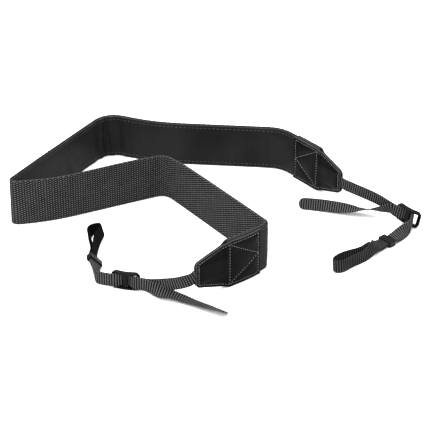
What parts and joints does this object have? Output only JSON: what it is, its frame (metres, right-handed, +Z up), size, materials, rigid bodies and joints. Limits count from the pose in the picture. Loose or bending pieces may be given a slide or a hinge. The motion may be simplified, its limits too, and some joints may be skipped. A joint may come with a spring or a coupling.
{
  "type": "camera neck strap",
  "caption": "Wide webbing neck strap lying in loose bends on its edge, with leather tabs, narrow webbing tails, tri-glides, keepers and lug loops.",
  "frame": {"origin": "middle of the bottom of the strap's box as it lies", "axes": "+X to the right along the longest side of the box, +Y away from the viewer, +Z up"},
  "size_m": [0.329, 0.2726, 0.0382],
  "materials": {
    "charcoal_webbing": "coarse woven",
    "dark_grey_lining": "smooth knit",
    "black_leather": "smooth, slightly glossy",
    "black_narrow_webbing": "ribbed",
    "black_plastic": "satin",
    "black_label": "plain woven tape"
  },
  "bodies": {
    "root": {"band_webbing": "charcoal_webbing", "band_lining": "dark_grey_lining", "back_tab_on_lining": "black_leather", "back_tab_on_webbing": "black_leather", "front_tab_on_lining": "black_leather", "front_tab_on_webbing": "black_leather", "back_narrow_webbing": "black_narrow_webbing", "front_narrow_webbing": "black_narrow_webbing", "back_tri_glide": "black_plastic", "front_tri_glide": "black_plastic", "back_keeper": "black_plastic", "front_keeper": "black_plastic", "label": "black_label"}
  },
  "joints": []
}
